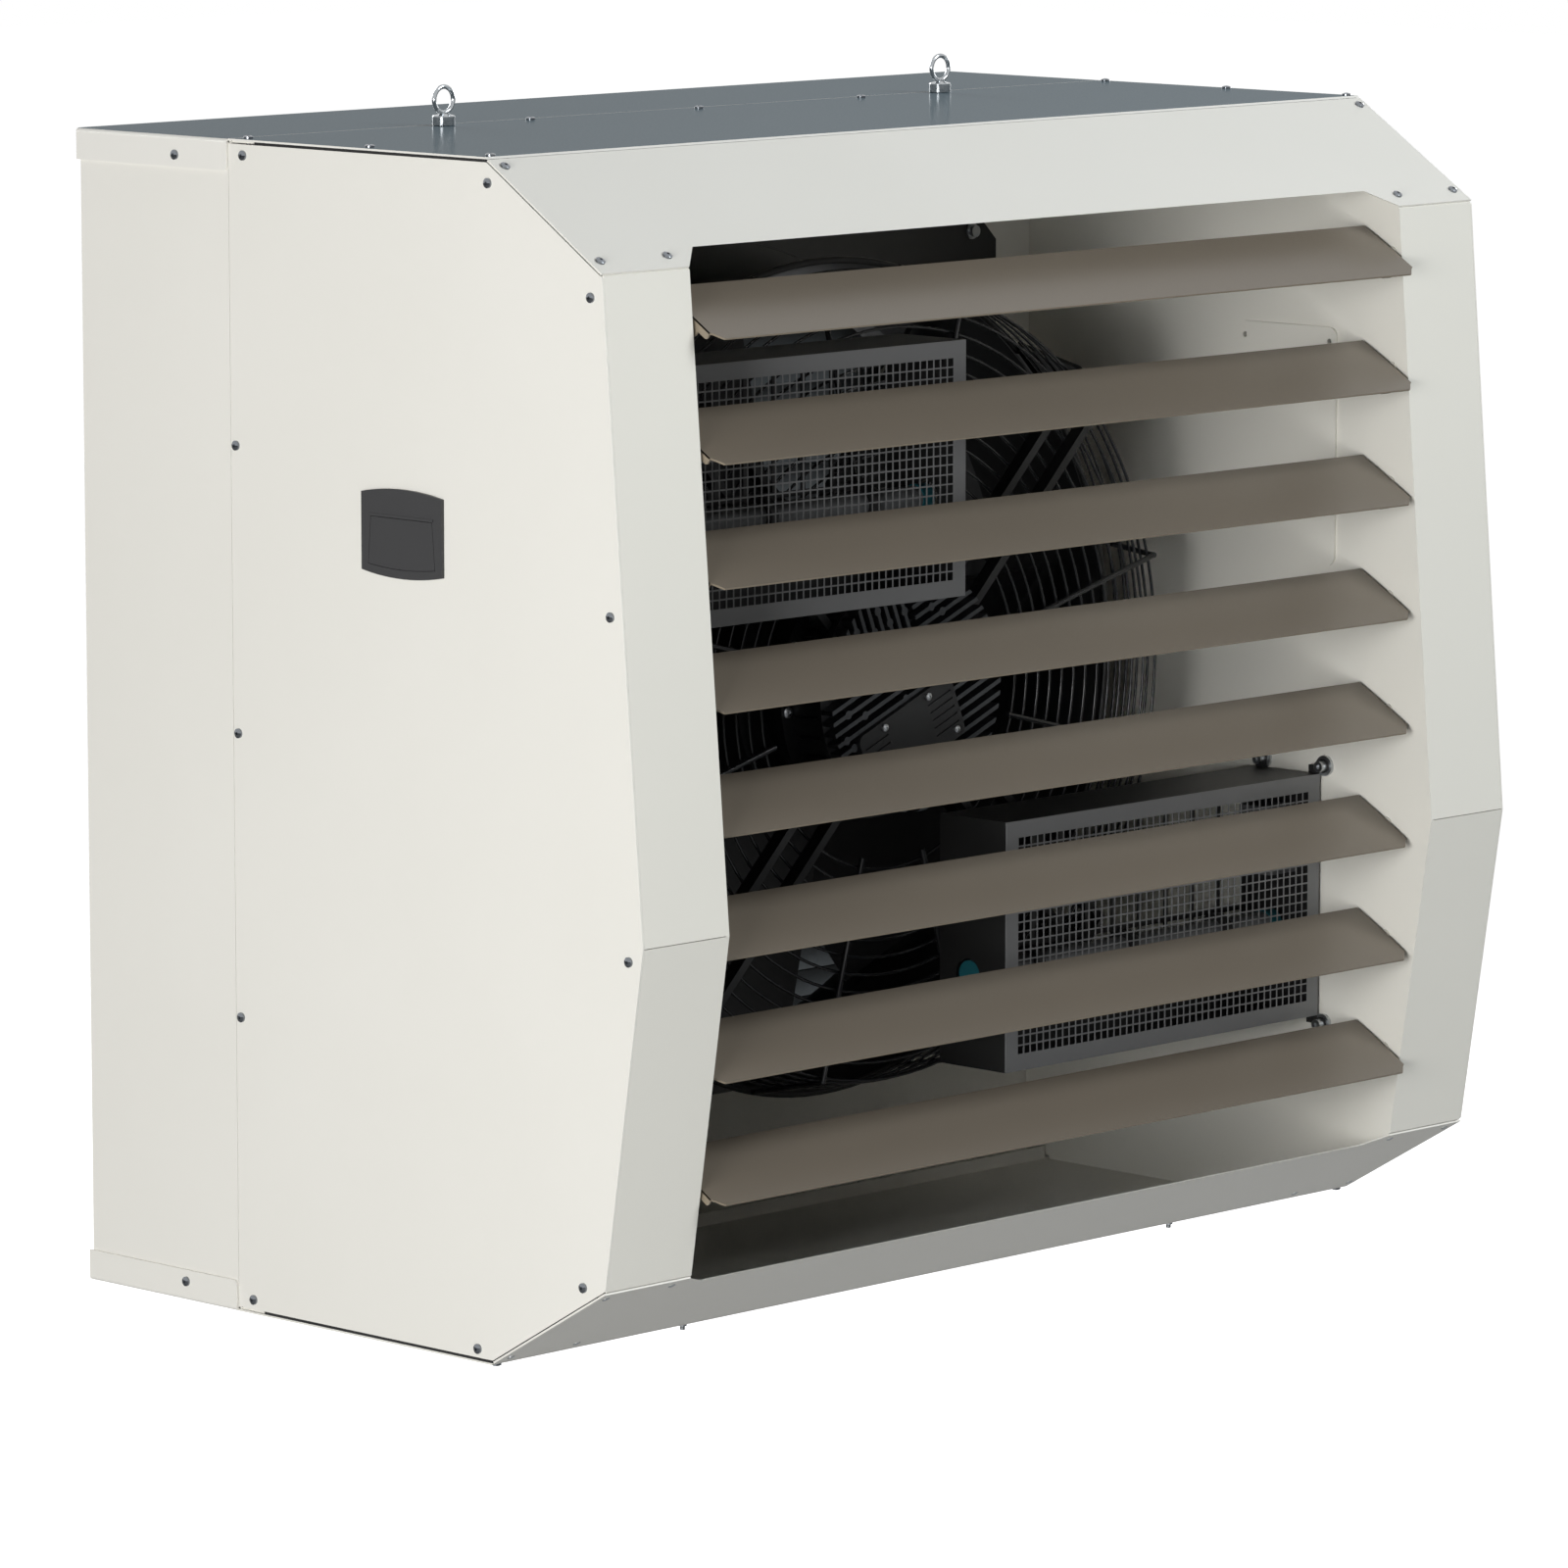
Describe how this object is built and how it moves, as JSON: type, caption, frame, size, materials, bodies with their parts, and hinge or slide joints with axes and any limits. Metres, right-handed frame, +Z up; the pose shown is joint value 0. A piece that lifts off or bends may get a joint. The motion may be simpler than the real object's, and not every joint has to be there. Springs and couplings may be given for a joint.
{
  "type": "ceiling mounted fan heater",
  "caption": "Large hanging fan heater: folded sheet casing, axial fan behind two heating modules, horizontal outlet louvres, hanging eyebolts and a flush side handle.",
  "frame": {"origin": "midway between the centres of the two hanging eyes on the roof", "axes": "+X to the right as seen from the front, along the louvres; +Y from the louvres towards the rear air intake; +Z up"},
  "size_m": [1.3296, 0.8213, 1.2504],
  "materials": {
    "cream_paint": "powder coat, satin",
    "grey_white_paint": "powder coat, satin",
    "slate_paint": "powder coat, fine texture, semi-gloss",
    "brown_paint": "powder coat, satin",
    "black_paint": "satin black",
    "grey_sheet": "satin grey",
    "bright_steel": "zinc plated",
    "black_cast": "cast, black coated",
    "black_plastic": "moulded, fine texture",
    "dark_plastic": "moulded, semi-matt",
    "teal_plastic": "moulded",
    "grey_plastic": "moulded",
    "foam": "closed cell foam",
    "galvanised": "galvanised sheet"
  },
  "bodies": {
    "casing": {"rear_side_left": "cream_paint", "rear_side_right": "cream_paint", "rear_top_cover": "slate_paint", "rear_bottom_cover": "cream_paint", "rear_frame": "cream_paint", "intake_grille": "bright_steel", "side_panel_left": "cream_paint", "side_panel_right": "cream_paint", "cheek_left": "grey_white_paint", "cheek_right": "grey_white_paint", "hood_roof": "slate_paint", "hood_brow": "cream_paint", "hood_sill": "cream_paint", "hood_floor": "cream_paint", "foam_seals": "foam", "blanking_plate": "grey_white_paint", "bulkhead": "cream_paint", "fan_plate": "black_paint", "fan_guard": "black_paint", "motor_arms": "black_paint", "motor_housing": "black_cast", "electronics_cover": "black_plastic", "motor_bearings": "bright_steel", "fan_screws": "bright_steel", "module_case_upper": "black_paint", "module_case_lower": "black_paint", "module_front_upper": "grey_sheet", "module_front_lower": "grey_sheet", "module_rear_upper": "black_paint", "module_rear_lower": "black_paint", "element_upper": "grey_sheet", "element_lower": "grey_sheet", "element_clips": "black_plastic", "element_caps": "teal_plastic", "terminal_blocks": "grey_plastic", "module_bolts": "bright_steel", "handle_bezel": "dark_plastic", "handle_pin": "bright_steel", "eyebolt_left": "bright_steel", "eyebolt_right": "bright_steel", "eyebolt_nuts": "bright_steel", "louvre_bushes": "black_plastic", "casing_screws": "bright_steel", "floor_studs": "bright_steel", "sill_rivets": "cream_paint", "terminal_box": "galvanised", "terminal_box_lid": "galvanised", "cable_gland": "black_plastic"},
    "fan_rotor": {"impeller": "black_plastic", "rotor_shaft": "bright_steel"},
    "flap": {"handle_flap": "dark_plastic", "handle_spring": "bright_steel"},
    "louvre_1_blade": {"louvre_1": "brown_paint"},
    "louvre_2_blade": {"louvre_2": "brown_paint"},
    "louvre_3_blade": {"louvre_3": "brown_paint"},
    "louvre_4_blade": {"louvre_4": "brown_paint"},
    "louvre_5_blade": {"louvre_5": "brown_paint"},
    "louvre_6_blade": {"louvre_6": "brown_paint"},
    "louvre_7_blade": {"louvre_7": "brown_paint"},
    "louvre_8_blade": {"louvre_8": "brown_paint"}
  },
  "joints": [
    {"name": "fan_spin", "type": "hinge", "parent": "casing", "child": "fan_rotor", "pos_m": [0, -0.26, -0.61668], "axis": [0, 1, 0], "continuous": true},
    {"name": "flap_hinge", "type": "hinge", "parent": "casing", "child": "flap", "pos_m": [-0.6474, -0.2367, -0.39468], "axis": [0, -1, 0], "range_deg": [0, 60], "stiffness_Nm_per_rad": 0.02, "springref_deg": -20.05},
    {"name": "louvre_1_pivot", "type": "hinge", "parent": "casing", "child": "louvre_1_blade", "pos_m": [0, -0.509, -1.03798], "axis": [1, 0, 0], "range_deg": [-30.8, 59.2]},
    {"name": "louvre_2_pivot", "type": "hinge", "parent": "casing", "child": "louvre_2_blade", "pos_m": [0, -0.509, -0.91558], "axis": [1, 0, 0], "range_deg": [-30.8, 59.2]},
    {"name": "louvre_3_pivot", "type": "hinge", "parent": "casing", "child": "louvre_3_blade", "pos_m": [0, -0.509, -0.79318], "axis": [1, 0, 0], "range_deg": [-30.8, 59.2]},
    {"name": "louvre_4_pivot", "type": "hinge", "parent": "casing", "child": "louvre_4_blade", "pos_m": [0, -0.509, -0.67078], "axis": [1, 0, 0], "range_deg": [-30.8, 59.2]},
    {"name": "louvre_5_pivot", "type": "hinge", "parent": "casing", "child": "louvre_5_blade", "pos_m": [0, -0.509, -0.54838], "axis": [1, 0, 0], "range_deg": [-30.8, 59.2]},
    {"name": "louvre_6_pivot", "type": "hinge", "parent": "casing", "child": "louvre_6_blade", "pos_m": [0, -0.509, -0.42598], "axis": [1, 0, 0], "range_deg": [-30.8, 59.2]},
    {"name": "louvre_7_pivot", "type": "hinge", "parent": "casing", "child": "louvre_7_blade", "pos_m": [0, -0.509, -0.30358], "axis": [1, 0, 0], "range_deg": [-30.8, 59.2]},
    {"name": "louvre_8_pivot", "type": "hinge", "parent": "casing", "child": "louvre_8_blade", "pos_m": [0, -0.509, -0.18118], "axis": [1, 0, 0], "range_deg": [-30.8, 59.2]}
  ]
}
